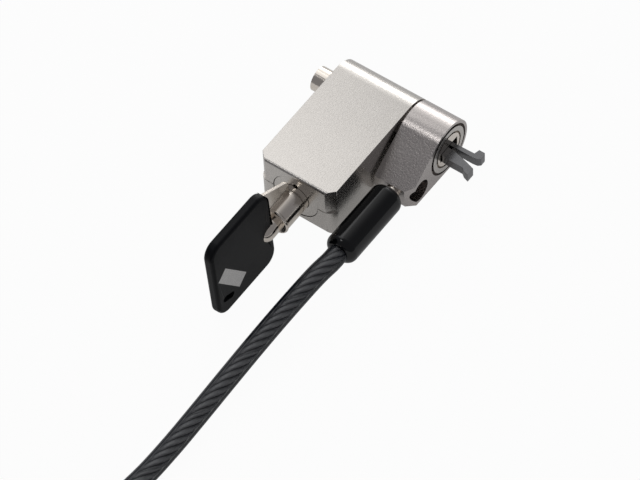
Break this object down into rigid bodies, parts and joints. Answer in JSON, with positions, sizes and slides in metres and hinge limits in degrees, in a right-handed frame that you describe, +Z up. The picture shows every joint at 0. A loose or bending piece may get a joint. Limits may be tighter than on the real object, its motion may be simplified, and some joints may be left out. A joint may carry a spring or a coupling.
{
  "type": "laptop cable lock",
  "caption": "Keyed laptop cable lock: a two-shell body with a tubular key, a push button that closes slot hooks, a swivelling collar and a covered steel cable with an eye.",
  "frame": {"origin": "centre of the nose face, on the nose axis that the collar turns on", "axes": "+X out of the nose toward the laptop's slot, the keyed face toward -Y, +Z up from the desk; the body leans 3 degrees about X because it lies on its key's bow"},
  "size_m": [0.0727, 0.2096, 0.03],
  "materials": {
    "satin_nickel": "satin nickel plated zinc casting, fine grain",
    "dark_metal": "dark plated steel, semi-matt",
    "bright_metal": "polished nickel plate",
    "brushed_blade": "stamped steel, lightly brushed",
    "collar_metal": "satin nickel plated zinc casting",
    "brass_pins": "plain turned brass",
    "black_moulding": "black moulded plastic, satin",
    "gloss_moulding": "black moulded sleeve, glossy",
    "smoked_sheath": "smoked clear sheath over steel strands"
  },
  "bodies": {
    "cable_end": {"cable_stud": "bright_metal", "stud_clip": "dark_metal", "cable_ferrule": "bright_metal", "cable_sleeve": "gloss_moulding", "cable": "smoked_sheath", "cable_coil": "smoked_sheath", "end_sleeve": "bright_metal", "end_loop": "smoked_sheath"},
    "collar": {"collar": "collar_metal"},
    "lock_body": {"upper_shell": "satin_nickel", "lower_shell": "satin_nickel", "shell_dowels": "dark_metal", "hook_carrier": "dark_metal", "hook_pin": "bright_metal", "lock_barrel": "satin_nickel", "pin_chamber": "satin_nickel", "driver_pins": "bright_metal", "driver_springs": "bright_metal"},
    "hook_a": {"hook_a": "dark_metal"},
    "hook_b": {"hook_b": "dark_metal"},
    "plunger": {"plunger": "bright_metal", "plunger_spring": "bright_metal"},
    "rotor": {"tumbler_rotor": "bright_metal", "key_pins": "brass_pins", "lock_cam": "dark_metal", "cam_screw": "dark_metal"},
    "key": {"key_tube": "bright_metal", "key_stem": "bright_metal", "key_blade": "brushed_blade", "key_bow": "black_moulding", "bow_inlay": "brushed_blade"}
  },
  "joints": [
    {"name": "cable_swivel", "type": "hinge", "parent": "cable_end", "child": "collar", "pos_m": [-0.00535, -0.0158, -0.0023], "axis": [0, -0.9976, 0.0698], "continuous": true},
    {"name": "collar_swivel", "type": "hinge", "parent": "collar", "child": "lock_body", "pos_m": [0, 0, 0], "axis": [1, 0, 0], "continuous": true},
    {"name": "button_press", "type": "slide", "parent": "lock_body", "child": "plunger", "axis": [1, 0, 0], "range_m": [0, 0.003], "stiffness_N_per_m": 400, "springref_m": -0.003, "deforming": ["plunger_spring"]},
    {"name": "hook_b_close", "type": "hinge", "parent": "lock_body", "child": "hook_b", "pos_m": [-0.0022, 0, 0], "axis": [0, 0.0523, 0.9986], "range_deg": [0, 8.6]},
    {"name": "hook_a_close", "type": "hinge", "parent": "lock_body", "child": "hook_a", "pos_m": [-0.0022, 0, 0], "axis": [0, 0.0523, 0.9986], "range_deg": [-1.1, 0]},
    {"name": "key_turn", "type": "hinge", "parent": "lock_body", "child": "rotor", "pos_m": [-0.0219, 0, 0], "axis": [0, 0.9986, -0.0523], "range_deg": [-90, 0]},
    {"name": "key_pull", "type": "slide", "parent": "rotor", "child": "key", "axis": [0, -0.9986, 0.0523], "range_m": [0, 0.009]}
  ],
  "couplings": [
    {"joint": "hook_b_close", "follows": "button_press", "rad_per_m": 49.4},
    {"joint": "hook_a_close", "follows": "button_press", "rad_per_m": -5.8}
  ]
}
